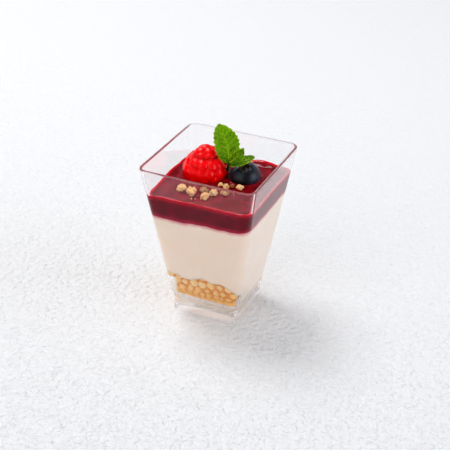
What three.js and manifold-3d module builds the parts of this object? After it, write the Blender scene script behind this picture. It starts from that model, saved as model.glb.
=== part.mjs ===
// A small square dessert cup of clear plastic, filled in layers: a crunchy grain base, a pale set
// cream and a red berry sauce with crumbs on it, topped with a raspberry, a blueberry and a mint sprig.
// Millimetres, +Z up. The origin is the middle of the face that the cup's foot stands on.
import * as THREE from 'three';
import { mergeVertices } from 'three/addons/utils/BufferGeometryUtils.js';
import Module from 'manifold-3d';

const wasm = await Module();
wasm.setup();

// Driving dimensions of the cup
const CUP_HEIGHT = 69.5;
const FOOT_HEIGHT = 6.5;
const RIM_HALF = 25;
const BODY_BASE_HALF = 15.2;
const FOOT_HALF = 14.6;
const WALL = 1.15;
const FLOOR_TOP = 8.3;
const WALL_CORNER = 4;
const FOOT_CORNER = 2.4;
const FLOOR_ROUND = 1.6;
const GAP = 0.3;

// Driving dimensions of the layers
const CREAM_TOP = 48.7;
const SAUCE_TOP = 57.7;
const MENISCUS = 0.9;
const MENISCUS_REACH = 1.6;
const HEAP_TOP = 18.4;
const HEAP_SETBACK = 0.8;
const CORE_INSET = 1.9;
const GRAIN_RADIUS = 1.8;
const GRAIN_PITCH = 3.9;
const GRAIN_ROW = 3.3;
// How far the heap's room is drawn out through the cup's walls, to be cut back by them
const OVERSHOOT = 2;

// Where the layers' surfaces are drawn, as shares of the way from the middle to the wall
const LAYER_SPREAD = [0.3, 0.6, 0.85, 0.95, 1];
const LAYER_SIDE_STEPS = 7;

// Mounds of the grain heap: middle, rise above the heap's level, and reach
const HEAP_MOUNDS = [
  { x: -13, y: -14, rise: 2.4, reach: 2.8 },
  { x: 0.8, y: -16, rise: 2.1, reach: 4 },
  { x: 10.6, y: -16, rise: 3.4, reach: 2.9 },
  { x: -16, y: -2, rise: 2.2, reach: 4.5 },
  { x: -15, y: 11, rise: 1.4, reach: 3.5 },
  { x: -3, y: 16, rise: 2.6, reach: 4.2 },
  { x: 9, y: 15, rise: 1.2, reach: 3.6 },
  { x: 16.5, y: -15, rise: -1.8, reach: 2.6 },
];

// Crumbs on the sauce: middle and size across
const CRUMBS = [
  { x: -10.8, y: -12.4, size: 4.7 },
  { x: -5.9, y: -13.4, size: 4.9 },
  { x: 0.3, y: -14, size: 4.2 },
  { x: -2.4, y: -9.3, size: 3.4 },
  { x: 2.3, y: -10, size: 4 },
  { x: 6.3, y: -8, size: 4 },
  { x: 1.8, y: -2.7, size: 2.5 },
  { x: 4.3, y: -3.3, size: 2.9 },
  { x: 9.6, y: -1.7, size: 3.1 },
  { x: 6.4, y: -1.6, size: 2.3 },
];

// Driving dimensions of the toppings
const RASPBERRY = { x: -8.2, y: 3.6, base: 54.4, top: 70.6, half: 9.6, drupelet: 2.1, lean: 5 };
const BLUEBERRY = { x: 7.9, y: 7.4, z: 59.1, half: 6.6, tall: 5.4, calyx: 2.25, tiltX: 10, tiltY: 10 };
const LEAF_THICKNESS = 0.36;
const STEM_RADIUS = 0.65;
const STEM_FOOT = new THREE.Vector3(2.1, 2.7, 62.3);
const STEM_TOP = new THREE.Vector3(3, 2.6, 66.4);
const PETIOLE_HALF = 0.38;

// The same run of draws each time, from a seed
function drawsFrom(seed) {
  let state = seed;
  return () => {
    state = (state * 1664525 + 1013904223) % 4294967296;
    return state / 4294967296;
  };
}

function solidOf(geometry) {
  const bare = geometry.clone();
  bare.deleteAttribute('normal');
  bare.deleteAttribute('uv');
  const merged = mergeVertices(bare, 1e-4);
  return new wasm.Manifold(new wasm.Mesh({
    numProp: 3,
    vertProperties: merged.getAttribute('position').array,
    triVerts: new Uint32Array(merged.index.array),
  }));
}

function geometryOf(solid) {
  const mesh = solid.getMesh();
  const geometry = new THREE.BufferGeometry();
  geometry.setAttribute('position', new THREE.BufferAttribute(new Float32Array(mesh.vertProperties), 3));
  geometry.setIndex(new THREE.BufferAttribute(new Uint32Array(mesh.triVerts), 1));
  geometry.computeVertexNormals();
  return geometry;
}

function joined(solids) {
  return solids.reduce((whole, next) => whole.add(next));
}

// The main body alone: loose scraps are dropped, and a hollow that joining has sealed is filled
function mainBody(solid) {
  return solid.decompose().reduce((best, next) => (next.volume() > best.volume() ? next : best));
}

// Unit steps round a rounded square: a point lies at straight * (half - radius) + bend * radius
function outlineSteps(perSide, perCorner) {
  const corners = [[1, 1], [-1, 1], [-1, -1], [1, -1]];
  const steps = [];
  corners.forEach((corner, side) => {
    const next = corners[(side + 1) % 4];
    const start = side * Math.PI / 2;
    for (let i = 0; i <= perCorner; i++) {
      const angle = start + (i / perCorner) * Math.PI / 2;
      steps.push({ straight: corner, bend: [Math.cos(angle), Math.sin(angle)] });
    }
    const facing = [Math.cos(start + Math.PI / 2), Math.sin(start + Math.PI / 2)];
    for (let i = 1; i < perSide; i++) {
      const t = i / perSide;
      const straight = [corner[0] * (1 - t) + next[0] * t, corner[1] * (1 - t) + next[1] * t];
      steps.push({ straight, bend: facing });
    }
  });
  return steps;
}

function squareRing(steps, half, radius, z) {
  return steps.map(({ straight, bend }) => new THREE.Vector3(
    straight[0] * (half - radius) + bend[0] * radius,
    straight[1] * (half - radius) + bend[1] * radius,
    z,
  ));
}

// A closed skin through rings of equal count, its first and last ring closed by a fan to their middle.
// The later half's squares are split the other way, so that a layer's top matches the next one's bottom.
function skin(rings) {
  const count = rings[0].length;
  const points = rings.flat();
  const middleOf = (ring) => ring.reduce((sum, p) => sum.add(p), new THREE.Vector3()).divideScalar(count);
  const first = points.push(middleOf(rings[0])) - 1;
  const last = points.push(middleOf(rings[rings.length - 1])) - 1;
  const index = [];
  for (let i = 0; i < count; i++) {
    const j = (i + 1) % count;
    for (let r = 0; r < rings.length - 1; r++) {
      const low = r * count;
      const high = low + count;
      if (r < rings.length / 2 - 1) index.push(low + i, low + j, high + j, low + i, high + j, high + i);
      else index.push(low + i, low + j, high + i, low + j, high + j, high + i);
    }
    const end = (rings.length - 1) * count;
    index.push(first, j, i, last, end + i, end + j);
  }
  const geometry = new THREE.BufferGeometry().setFromPoints(points);
  geometry.setIndex(index);
  geometry.computeVertexNormals();
  return geometry;
}

// Half the cup's outer width at a height: the four walls lean out evenly from base to rim
function outerHalf(z) {
  return BODY_BASE_HALF + (RIM_HALF - BODY_BASE_HALF) * (z - FOOT_HEIGHT) / (CUP_HEIGHT - FOOT_HEIGHT);
}

// One clear moulding: foot skirt open below, floor, four leaning walls and a rounded rim
function cupGeometry() {
  const steps = outlineSteps(1, 5);
  const inner = FOOT_HALF - WALL;
  const innerCorner = WALL_CORNER - WALL;
  const ring = (half, radius, z) => squareRing(steps, half, radius, z);
  const lip = (out, up) => ring(outerHalf(CUP_HEIGHT) - out, WALL_CORNER - out, CUP_HEIGHT - up);
  const wallIn = (z, inset) => ring(outerHalf(z) - WALL - inset, innerCorner, z);
  return skin([
    ring(inner, FOOT_CORNER - 1, FOOT_HEIGHT),
    ring(inner, FOOT_CORNER - 1, 0),
    ring(FOOT_HALF - 0.25, FOOT_CORNER - 0.25, 0),
    ring(FOOT_HALF, FOOT_CORNER, 0.25),
    ring(FOOT_HALF, FOOT_CORNER + 0.4, FOOT_HEIGHT - 0.5),
    ring(FOOT_HALF + 0.15, WALL_CORNER - 0.6, FOOT_HEIGHT - 0.1),
    ring(FOOT_HALF + 0.5, WALL_CORNER - 0.2, FOOT_HEIGHT + 0.35),
    ring(outerHalf(FOOT_HEIGHT + 1), WALL_CORNER, FOOT_HEIGHT + 1),
    lip(0, 0.5),
    lip(0.15, 0.15),
    lip(0.45, 0),
    lip(WALL - 0.45, 0),
    lip(WALL - 0.15, 0.15),
    lip(WALL, 0.5),
    wallIn(FLOOR_TOP + FLOOR_ROUND, 0),
    wallIn(FLOOR_TOP + FLOOR_ROUND * 0.5, FLOOR_ROUND * 0.13),
    wallIn(FLOOR_TOP + FLOOR_ROUND * 0.13, FLOOR_ROUND * 0.5),
    wallIn(FLOOR_TOP, FLOOR_ROUND),
  ]);
}

// A filling between two uneven surfaces, out to a given distance inside the inner walls
function filling({ bottom, top, inset, shift = 0, steps, spread }) {
  const radius = Math.max(WALL_CORNER - WALL - inset, 0.6);
  const wallPoint = (step, surface) => {
    let z = surface(step.straight[0] * BODY_BASE_HALF + shift, step.straight[1] * BODY_BASE_HALF);
    for (let pass = 0; pass < 4; pass++) {
      const [p] = squareRing([step], outerHalf(z) - WALL - inset, radius, 0);
      z = surface(p.x + shift, p.y);
    }
    return squareRing([step], outerHalf(z) - WALL - inset, radius, z)[0];
  };
  const ringAt = (surface, scale) => steps.map((step) => {
    const edge = wallPoint(step, surface);
    const x = edge.x * scale + shift;
    const y = edge.y * scale;
    return new THREE.Vector3(x, y, scale === 1 ? edge.z : surface(x, y));
  });
  return skin([
    ...spread.map((scale) => ringAt(bottom, scale)),
    ...[...spread].reverse().map((scale) => ringAt(top, scale)),
  ]);
}

// How far a point is inside the inner walls, measured level, round the corners too
function wallDistance(x, y, z) {
  const corner = WALL_CORNER - WALL;
  const straight = outerHalf(z) - WALL - corner;
  const beyondX = Math.abs(x) - straight;
  const beyondY = Math.abs(y) - straight;
  const round = Math.hypot(Math.max(beyondX, 0), Math.max(beyondY, 0));
  return corner - round - Math.min(Math.max(beyondX, beyondY), 0);
}

// The lowest that a filling reaches: the floor, rounded up into the walls
function floorTop(x, y) {
  const near = Math.min(Math.max(FLOOR_ROUND - wallDistance(x, y, FLOOR_TOP), 0), FLOOR_ROUND);
  return FLOOR_TOP + GAP + FLOOR_ROUND - Math.sqrt(FLOOR_ROUND ** 2 - near ** 2);
}

// The grain heap's uneven top
function heapTop(x, y) {
  return HEAP_MOUNDS.reduce((z, mound) => {
    const away = Math.hypot(x - mound.x, y - mound.y) / mound.reach;
    return z + mound.rise * Math.exp(-away * away);
  }, HEAP_TOP);
}

// The cream's top, which set in slow waves
function creamTop(x, y) {
  const waves = 0.35 * Math.sin(x * 0.31 + 0.8) + 0.28 * Math.sin(x * 0.83 - y * 0.2);
  return CREAM_TOP + waves - 0.025 * (x - 4) + 0.12 * Math.sin(y * 0.6);
}

// The sauce's top: slow waves, drawn up where it wets the walls, most of all at the back
function sauceTop(x, y) {
  const near = Math.max(wallDistance(x, y, SAUCE_TOP), 0) / MENISCUS_REACH;
  const waves = 0.22 * Math.sin(x * 0.27 + 1.2) * Math.cos(y * 0.23 - 0.4);
  const dip = 0.9 * Math.exp(-(((x + 22) / 4) ** 2) - ((y + 22) / 9) ** 2);
  const smear = 1.3 * Math.exp(-(((x - 11) / 6) ** 2)) * Math.exp(-(((y - 23) / 2.2) ** 2));
  return SAUCE_TOP + waves + smear - dip + MENISCUS * Math.exp(-near * near);
}

// The room of the grain heap: set back from the wall on +X, where the cream runs down beside it
function heapRoom(grow) {
  return solidOf(filling({
    bottom: () => FLOOR_TOP - OVERSHOOT,
    top: (x, y) => heapTop(x, y) + grow,
    inset: -OVERSHOOT,
    shift: grow - OVERSHOOT - HEAP_SETBACK - GAP,
    steps: outlineSteps(12, 2),
    spread: LAYER_SPREAD,
  }));
}

// One puffed grain: a few-sided ball, squashed and turned at random
function grain(draw, x, y, z) {
  const ball = new THREE.IcosahedronGeometry(GRAIN_RADIUS * (0.92 + 0.2 * draw()), 0);
  ball.scale(0.85 + 0.3 * draw(), 0.85 + 0.3 * draw(), 0.85 + 0.3 * draw());
  ball.rotateX(draw() * Math.PI).rotateY(draw() * Math.PI).rotateZ(draw() * Math.PI);
  ball.translate(x, y, z);
  return solidOf(ball);
}

// The heap of puffed grains: a core with the grains that press against three of the clear walls
function crunchSolid() {
  const draw = drawsFrom(7);
  const within = (inset) => solidOf(filling({
    bottom: floorTop,
    top: () => HEAP_TOP + 3 * GRAIN_ROW,
    inset,
    steps: outlineSteps(1, 4),
    spread: [0.85, 0.93, 1],
  }));
  const grains = [];
  const lowest = FLOOR_TOP + GAP + GRAIN_RADIUS;
  for (let side = 1; side < 4; side++) {
    const turn = side * Math.PI / 2;
    for (let z = lowest; z < HEAP_TOP + GRAIN_ROW; z += GRAIN_ROW) {
      const out = outerHalf(z) - WALL - GAP - GRAIN_RADIUS * 0.9;
      const fitting = Math.floor(2 * out / GRAIN_PITCH);
      for (let i = 0; i <= fitting; i++) {
        const along = (i / fitting - 0.5) * 2 * (out - 0.7) + (draw() - 0.5) * 0.7;
        const x = out * Math.cos(turn) - along * Math.sin(turn);
        const y = out * Math.sin(turn) + along * Math.cos(turn);
        if (x > out - HEAP_SETBACK || z + GRAIN_RADIUS * 0.4 > heapTop(x, y)) continue;
        grains.push(grain(draw, x, y, z + (draw() - 0.5) * 0.5));
      }
    }
  }
  const heap = joined([within(GAP + CORE_INSET), ...grains]);
  return mainBody(heap.intersect(within(GAP)).intersect(heapRoom(-GAP)));
}

// The set cream, from the heap up to the sauce, down to the floor along the +X wall
function creamSolid() {
  const block = solidOf(filling({
    bottom: floorTop,
    top: (x, y) => creamTop(x, y) - GAP / 2,
    inset: GAP,
    steps: outlineSteps(LAYER_SIDE_STEPS, 3),
    spread: LAYER_SPREAD,
  }));
  return mainBody(block.subtract(heapRoom(0)));
}

// The berries' plain outer shapes, a little larger, by which the sauce is cut round them
function berrySockets() {
  const rasp = new THREE.LatheGeometry(raspberryProfile(GAP + 0.5, 7), 18).rotateX(Math.PI / 2);
  const blue = new THREE.SphereGeometry(1, 18, 8).rotateX(Math.PI / 2);
  const wide = BLUEBERRY.half + GAP;
  blue.scale(wide, wide, BLUEBERRY.tall + GAP);
  return [solidOf(placeRaspberry(rasp)), solidOf(placeBlueberry(blue))];
}

// A nubbly crumb: two or three small bumps side by side
function crumb(draw, { x, y, size }) {
  const nubs = [];
  const bumps = size > 3 ? 3 : 2;
  for (let i = 0; i < bumps; i++) {
    const angle = (i / bumps + draw() * 0.2) * 2 * Math.PI;
    const away = size * 0.22;
    const ball = new THREE.IcosahedronGeometry(size * (0.27 + 0.06 * draw()), 0);
    ball.rotateX(draw() * 3).rotateY(draw() * 3);
    const lift = sauceTop(x, y) + size * (0.12 + 0.1 * draw());
    ball.translate(x + away * Math.cos(angle), y + away * Math.sin(angle), lift);
    nubs.push(solidOf(ball));
  }
  return joined(nubs);
}

// The berry sauce: a layer up to its level, drawn up the walls, with the crumbs that lie on it
function sauceSolid() {
  const draw = drawsFrom(19);
  const layer = solidOf(filling({
    bottom: (x, y) => creamTop(x, y) + GAP / 2,
    top: sauceTop,
    inset: GAP,
    steps: outlineSteps(LAYER_SIDE_STEPS, 3),
    spread: LAYER_SPREAD,
  }));
  const [rasp, blue] = berrySockets();
  const topped = joined([layer, ...CRUMBS.map((c) => crumb(draw, c))]);
  return mainBody(topped.subtract(rasp).subtract(blue));
}

// Half the raspberry's outline, from its foot up to its rounded tip, moved out by a margin
function raspberryProfile(margin, count) {
  const height = RASPBERRY.top - RASPBERRY.base;
  const half = RASPBERRY.half + margin;
  const points = [new THREE.Vector2(0, -margin)];
  for (let i = 0; i < count; i++) {
    const s = i / count;
    const foot = Math.sqrt(Math.max(0, 1 - ((0.3 - s) / 0.38) ** 2));
    const cone = Math.sqrt(Math.max(0, 1 - ((s - 0.3) / 0.7) ** 1.5));
    points.push(new THREE.Vector2(half * (s < 0.3 ? foot : cone), -margin + s * (height + 2 * margin)));
  }
  points.push(new THREE.Vector2(0, height + margin));
  return points;
}

function placeRaspberry(geometry) {
  geometry.rotateX(THREE.MathUtils.degToRad(-RASPBERRY.lean));
  return geometry.translate(RASPBERRY.x, RASPBERRY.y, RASPBERRY.base);
}

// The raspberry: rings of drupelets on a plain core, tip up
function raspberrySolid() {
  const draw = drawsFrom(31);
  const { drupelet } = RASPBERRY;
  const outline = new THREE.CatmullRomCurve3(
    raspberryProfile(-drupelet * 0.85, 24).map((p) => new THREE.Vector3(p.x, 0, p.y)),
  );
  const core = new THREE.LatheGeometry(raspberryProfile(-drupelet, 7), 14).rotateX(Math.PI / 2);
  const parts = [solidOf(placeRaspberry(core))];
  const rings = Math.round(outline.getLength() / (drupelet * 1.5));
  for (let ring = 1; ring <= rings; ring++) {
    const at = outline.getPointAt(ring / rings);
    if (RASPBERRY.base + at.z < SAUCE_TOP - 1.2 * drupelet) continue;
    const count = Math.max(1, Math.round(2 * Math.PI * at.x / (drupelet * 1.85)));
    for (let i = 0; i < count; i++) {
      const angle = (i + 0.5 * (ring % 2) + 0.12 * draw()) / count * 2 * Math.PI;
      const ball = new THREE.IcosahedronGeometry(drupelet * (1.02 + 0.12 * draw()), 0);
      ball.rotateX(draw() * 3).rotateZ(draw() * 3);
      ball.translate(at.x * Math.cos(angle), at.x * Math.sin(angle), at.z);
      parts.push(solidOf(placeRaspberry(ball)));
    }
  }
  return mainBody(joined(parts));
}

function placeBlueberry(geometry) {
  geometry.rotateX(THREE.MathUtils.degToRad(BLUEBERRY.tiltX));
  geometry.rotateY(THREE.MathUtils.degToRad(BLUEBERRY.tiltY));
  return geometry.translate(BLUEBERRY.x, BLUEBERRY.y, BLUEBERRY.z);
}

// The blueberry: a flattened ball with a dished calyx and its low raised crown
function blueberryGeometry() {
  const { half, tall, calyx } = BLUEBERRY;
  const edge = Math.asin(calyx / half);
  const points = [new THREE.Vector2(0, -tall)];
  for (let i = 1; i <= 11; i++) {
    const angle = -Math.PI / 2 + (Math.PI - edge) * i / 11;
    points.push(new THREE.Vector2(half * Math.cos(angle), tall * Math.sin(angle)));
  }
  const rimHeight = tall * Math.cos(edge);
  points.push(new THREE.Vector2(calyx * 0.86, rimHeight + 0.35));
  points.push(new THREE.Vector2(calyx * 0.66, rimHeight - 0.2));
  points.push(new THREE.Vector2(calyx * 0.45, rimHeight - 0.9));
  points.push(new THREE.Vector2(0, rimHeight - 1));
  const berry = new THREE.LatheGeometry(points, 18).rotateX(Math.PI / 2);
  return placeBlueberry(berry);
}

// A mint leaf as a thin wavy solid from base to tip, toothed at the edge, folded along its midrib
function leafSolid({ base, tip, face, half, bow, curl, lengthSteps, widthSteps }) {
  const along = new THREE.Vector3().subVectors(tip, base);
  const length = along.length();
  along.normalize();
  const across = new THREE.Vector3().crossVectors(face, along).normalize().negate();
  const normal = new THREE.Vector3().crossVectors(along, across).normalize().negate();
  const halfAt = (i) => {
    const oval = Math.sqrt(Math.sin(Math.PI * Math.min(i / lengthSteps, 0.999) ** 0.92));
    const tooth = i % 2 ? 1.03 : 0.95;
    return Math.max(half * oval * tooth, PETIOLE_HALF);
  };
  const middle = (i, v) => {
    const u = i / lengthSteps;
    const wide = halfAt(i) * v;
    const lift = wide * v * (curl + 0.08 * Math.sin(u * 9 + v * 2));
    const arch = bow * Math.sin(Math.PI * u) * length;
    return base.clone()
      .addScaledVector(along, u * length)
      .addScaledVector(across, wide + 0.05 * length * Math.sin(Math.PI * u))
      .addScaledVector(normal, lift + arch);
  };
  const points = [];
  const row = 2 * (widthSteps + 1);
  for (let i = 0; i <= lengthSteps; i++) {
    for (const side of [1, -1]) {
      for (let j = 0; j <= widthSteps; j++) {
        const v = side * (j / widthSteps * 2 - 1);
        points.push(middle(i, v).addScaledVector(normal, side * LEAF_THICKNESS / 2));
      }
    }
  }
  const index = [];
  for (let i = 0; i < lengthSteps; i++) {
    for (let j = 0; j < row; j++) {
      const a = i * row + j;
      const b = i * row + (j + 1) % row;
      index.push(a, b, b + row, a, b + row, a + row);
    }
  }
  const end = lengthSteps * row;
  for (let j = 1; j < row - 1; j++) {
    index.push(0, j + 1, j, end, end + j, end + j + 1);
  }
  const leaf = new THREE.BufferGeometry().setFromPoints(points);
  leaf.setIndex(index);
  return solidOf(leaf);
}

// The mint sprig: one large leaf and two small ones, each rooted in the short stem end that holds them
function mintSolid() {
  const front = new THREE.Vector3(0.35, -0.79, 0.5);
  const onStem = (share, forward) => new THREE.Vector3()
    .lerpVectors(STEM_FOOT, STEM_TOP, share)
    .addScaledVector(front, forward);
  const large = leafSolid({
    base: onStem(0.88, -0.3), tip: new THREE.Vector3(-2.7, 6, 80.3), face: front,
    half: 5.1, bow: -0.04, curl: 0.14, lengthSteps: 18, widthSteps: 4,
  });
  const small = leafSolid({
    base: onStem(0.7, 0.3), tip: new THREE.Vector3(8, 5.1, 72.3), face: new THREE.Vector3(0.5, -0.8, 0.2),
    half: 2.6, bow: -0.05, curl: 0.22, lengthSteps: 10, widthSteps: 4,
  });
  const low = leafSolid({
    base: onStem(0.5, 0), tip: new THREE.Vector3(10.9, 9.9, 66.9), face: new THREE.Vector3(0.1, -0.35, 0.9),
    half: 2.3, bow: 0.05, curl: 0.2, lengthSteps: 12, widthSteps: 4,
  });
  const section = new THREE.Shape().absarc(0, 0, STEM_RADIUS, 0, Math.PI * 2);
  const extrudePath = new THREE.LineCurve3(STEM_FOOT, STEM_TOP);
  const stem = new THREE.ExtrudeGeometry(section, { steps: 1, curveSegments: 4, extrudePath });
  return mainBody(joined([solidOf(stem), large, small, low]));
}

function named(name, geometry, color, roughness, more = {}) {
  const material = new THREE.MeshStandardMaterial({ color, roughness, metalness: 0, ...more });
  const mesh = new THREE.Mesh(geometry, material);
  mesh.name = name;
  return mesh;
}

const dessert = new THREE.Group();
dessert.add(named('cup', cupGeometry(), '#eef0f2', 0.08, { transparent: true, opacity: 0.3 }));
dessert.add(named('crunch_base', geometryOf(crunchSolid()), '#dfae78', 0.7));
dessert.add(named('cream', geometryOf(creamSolid()), '#ece0d2', 0.45));
dessert.add(named('berry_sauce', geometryOf(sauceSolid()), '#7a1026', 0.15));
dessert.add(named('raspberry', geometryOf(raspberrySolid()), '#c9101c', 0.3));
dessert.add(named('blueberry', blueberryGeometry(), '#1c2733', 0.45));
dessert.add(named('mint_sprig', geometryOf(mintSolid()), '#4f8f10', 0.5));

export default dessert;
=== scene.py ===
# %% [markdown]
# This lesson dresses a small layered dessert: a clear square cup with a base of puffed grains, a
# pale set cream and a dark red berry sauce, with crumbs, a raspberry, a blueberry and a mint sprig
# on top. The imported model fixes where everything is, so it is loaded first. Its box is kept, so
# that the finished pieces can be compared with it at the end.

import bisect
import math
import random

import bmesh
import bpy
from mathutils import Matrix, Vector, kdtree, noise


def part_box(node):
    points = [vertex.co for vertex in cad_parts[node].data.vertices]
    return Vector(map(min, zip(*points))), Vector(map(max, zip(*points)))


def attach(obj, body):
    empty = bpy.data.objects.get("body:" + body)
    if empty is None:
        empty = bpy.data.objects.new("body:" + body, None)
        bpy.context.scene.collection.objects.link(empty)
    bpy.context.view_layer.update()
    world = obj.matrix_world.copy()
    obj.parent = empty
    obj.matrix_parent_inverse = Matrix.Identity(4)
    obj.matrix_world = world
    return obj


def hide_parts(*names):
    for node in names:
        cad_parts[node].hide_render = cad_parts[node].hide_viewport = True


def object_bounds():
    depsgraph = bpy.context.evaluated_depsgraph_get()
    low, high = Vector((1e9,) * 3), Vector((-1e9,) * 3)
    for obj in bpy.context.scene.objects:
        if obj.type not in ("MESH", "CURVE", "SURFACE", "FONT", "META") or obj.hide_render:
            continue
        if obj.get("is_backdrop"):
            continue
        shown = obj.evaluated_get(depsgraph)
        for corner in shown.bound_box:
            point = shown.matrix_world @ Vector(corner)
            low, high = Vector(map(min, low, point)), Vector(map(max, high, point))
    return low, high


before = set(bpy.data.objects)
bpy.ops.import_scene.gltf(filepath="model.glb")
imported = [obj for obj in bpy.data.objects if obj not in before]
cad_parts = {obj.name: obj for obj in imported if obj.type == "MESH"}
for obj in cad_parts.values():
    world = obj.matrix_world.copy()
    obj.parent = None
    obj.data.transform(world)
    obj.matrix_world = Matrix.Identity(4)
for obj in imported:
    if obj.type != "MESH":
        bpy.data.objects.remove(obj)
cad_box = [list(corner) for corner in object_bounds()]
print("packed nodes:", ", ".join(sorted(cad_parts)))

# %% [markdown]
# The shapes are drawn in millimetres, which are easy to think in at this size, and each piece is
# scaled to metres when it is finished. The cup's outer sizes are read from the model's box. The
# rest are its driving dimensions, repeated here because a script can't see inside a solid.

# %% Sizes that the pieces share
MM = 0.001
cup_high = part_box("cup")[1] / MM
RIM_HALF = cup_high.x
CUP_HEIGHT = cup_high.z
FOOT_HEIGHT = 6.5
BODY_BASE_HALF = 15.2
FOOT_HALF = 14.6
WALL = 1.15
FLOOR_TOP = 8.3
WALL_CORNER = 4
INNER_CORNER = WALL_CORNER - WALL
FOOT_CORNER = 2.4
FLOOR_ROUND = 1.6
CREAM_TOP = 48.7
SAUCE_TOP = 57.7
# A filling reaches this far into the wall, so that no film of air shows between them
REACH = 0.05
print(f"cup: {2 * RIM_HALF:.1f} mm across the rim, {CUP_HEIGHT:.1f} mm tall")


def outer_half(z):
    """Half the cup's outer width at a height: the walls lean out evenly from base to rim."""
    share = (z - FOOT_HEIGHT) / (CUP_HEIGHT - FOOT_HEIGHT)
    return BODY_BASE_HALF + (RIM_HALF - BODY_BASE_HALF) * share


def inner_half(z):
    """Half the width between the inner walls at a height."""
    return outer_half(z) - WALL


def beyond_core(x, y, core):
    """How far a point lies out past a square of that half width, along x and along y."""
    return Vector((max(abs(x) - core, 0), max(abs(y) - core, 0)))


def bell(distance, reach):
    """1 at no distance, falling smoothly to nothing past the reach."""
    return math.exp(-((distance / reach) ** 2))


def smooth_step(low, high, value):
    """0 below low, 1 above high, and a smooth rise between them."""
    share = min(max((value - low) / (high - low), 0), 1)
    return share * share * (3 - 2 * share)


def search_tree(points):
    """The points, ready to be searched by distance."""
    made = kdtree.KDTree(len(points))
    for number, point in enumerate(points):
        made.insert(point, number)
    made.balance()
    return made


# %% [markdown]
# Every finished piece goes through the same few steps: its faces are turned outwards, it is scaled
# to metres about the origin, so that its object needs no move or scale of its own, it is attached
# to the body that it rides on, and the imported part that it stands for is hidden. An open edge
# would spoil the mesh for printing and for glass, so open edges are counted and printed.


# %% A helper that finishes a piece
def turn_outwards(bm):
    """Turns each closed shell's faces outwards. One that is inside out has a volume below 0."""
    bmesh.ops.recalc_face_normals(bm, faces=bm.faces)
    waiting = set(bm.faces)
    while waiting:
        shell = [waiting.pop()]
        for face in shell:
            for edge in face.edges:
                fresh = waiting.intersection(edge.link_faces)
                waiting -= fresh
                shell.extend(fresh)
        volume = sum(
            face.calc_area() * face.normal.dot(face.calc_center_median()) for face in shell
        )
        if volume < 0:
            bmesh.ops.reverse_faces(bm, faces=shell)


def add_object(name, data):
    """A new object in the scene."""
    made = bpy.data.objects.new(name, data)
    bpy.context.scene.collection.objects.link(made)
    return made


def finish_piece(bm, name, node, slot, *materials):
    """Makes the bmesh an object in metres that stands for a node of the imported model."""
    turn_outwards(bm)
    bmesh.ops.scale(bm, vec=(MM, MM, MM), verts=bm.verts)
    open_edges = sum(not edge.is_manifold for edge in bm.edges)
    mesh = bpy.data.meshes.new(name)
    bm.to_mesh(mesh)
    bm.free()
    mesh.shade_smooth()
    for material in materials:
        mesh.materials.append(material)
    piece = add_object(name, mesh)
    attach(piece, "root")
    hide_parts(node)
    print(f"{name}: {len(mesh.polygons)} faces, {open_edges} open edges")
    return piece


# %% [markdown]
# The finishes are built from shader nodes. Small helpers keep each one readable: they add a node
# and join its inputs, turn hex digits into linear values, blend two colours, and so on. Patterns
# use Object coordinates, so they stay on the piece, with scales in repeats for each metre.


# %% Helpers for finishes
def tint(name):
    """A colour written as six hex digits, in linear light."""
    parts = [int(name[i : i + 2], 16) / 255 for i in (0, 2, 4)]
    return (*(p / 12.92 if p <= 0.04045 else ((p + 0.055) / 1.055) ** 2.4 for p in parts), 1)


def add(tree, kind, inputs=None, **settings):
    """A new shader node, its inputs set to values or joined to other nodes' sockets."""
    made = tree.nodes.new("ShaderNode" + kind)
    for name, value in settings.items():
        setattr(made, name, value)
    for name, value in (inputs or {}).items():
        if isinstance(value, bpy.types.NodeSocket):
            tree.links.new(value, made.inputs[name])
        else:
            made.inputs[name].default_value = value
    return made


def blend(tree, factor, first, second):
    """The socket of a blend of two colours, each a socket, four values or six hex digits."""
    first, second = (tint(end) if isinstance(end, str) else end for end in (first, second))
    return add(tree, "Mix", {0: factor, 6: first, 7: second}, data_type="RGBA").outputs[2]


def ramp(tree, factor, low, high):
    """The socket of a value that goes from 0 at low to 1 at high, smoothly."""
    made = add(tree, "MapRange", {"Value": factor, "From Min": low, "From Max": high})
    made.interpolation_type = "SMOOTHSTEP"
    return made.outputs[0]


def calculate(tree, how, *values):
    """The socket of a sum on values or sockets."""
    return add(tree, "Math", dict(enumerate(values)), operation=how).outputs[0]


def own_place(tree):
    """The socket of a point's place in its piece's own coordinates."""
    return add(tree, "TexCoord").outputs["Object"]


def sized_noise(tree, scale, detail=3.0, roughness=0.55):
    """The socket of a soft random pattern, with scale in repeats for each metre."""
    inputs = {"Vector": own_place(tree), "Scale": scale, "Detail": detail, "Roughness": roughness}
    return add(tree, "TexNoise", inputs).outputs["Fac"]


def attribute(tree, name):
    """The socket of a value that is kept on the piece's own points."""
    return add(tree, "Attribute", attribute_name=name).outputs["Fac"]


def bump(tree, height, distance, strength=1.0):
    """The socket of a normal that follows a height, with distance in metres."""
    inputs = {"Height": height, "Distance": distance, "Strength": strength}
    return add(tree, "Bump", inputs).outputs[0]


def new_finish(name, **sockets):
    """A material, its node tree and its main shader, with plain values set on the shader."""
    material = bpy.data.materials.new(name)
    material.use_nodes = True
    tree = material.node_tree
    shader = tree.nodes["Principled BSDF"]
    for socket, value in sockets.items():
        shader.inputs[socket.replace("_", " ")].default_value = value
    return material, tree, shader


def wire(tree, shader, **sockets):
    """Joins sockets to the main shader's inputs."""
    for socket, value in sockets.items():
        tree.links.new(value, shader.inputs[socket.replace("_", " ")])


# %% [markdown]
# The cup is one moulding of clear plastic. Such a shape could be made by scaling a box, but its
# corners keep one radius while the walls lean out. So it starts as one flat square whose four
# corners are bevelled round, and its outline is extruded again and again, each time moved to the
# next rounded square: down and up the foot, up the outside, over the rim and down to the inner
# floor. The rim and the inner floor's edge are quarter circles of closely spaced squares.

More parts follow.
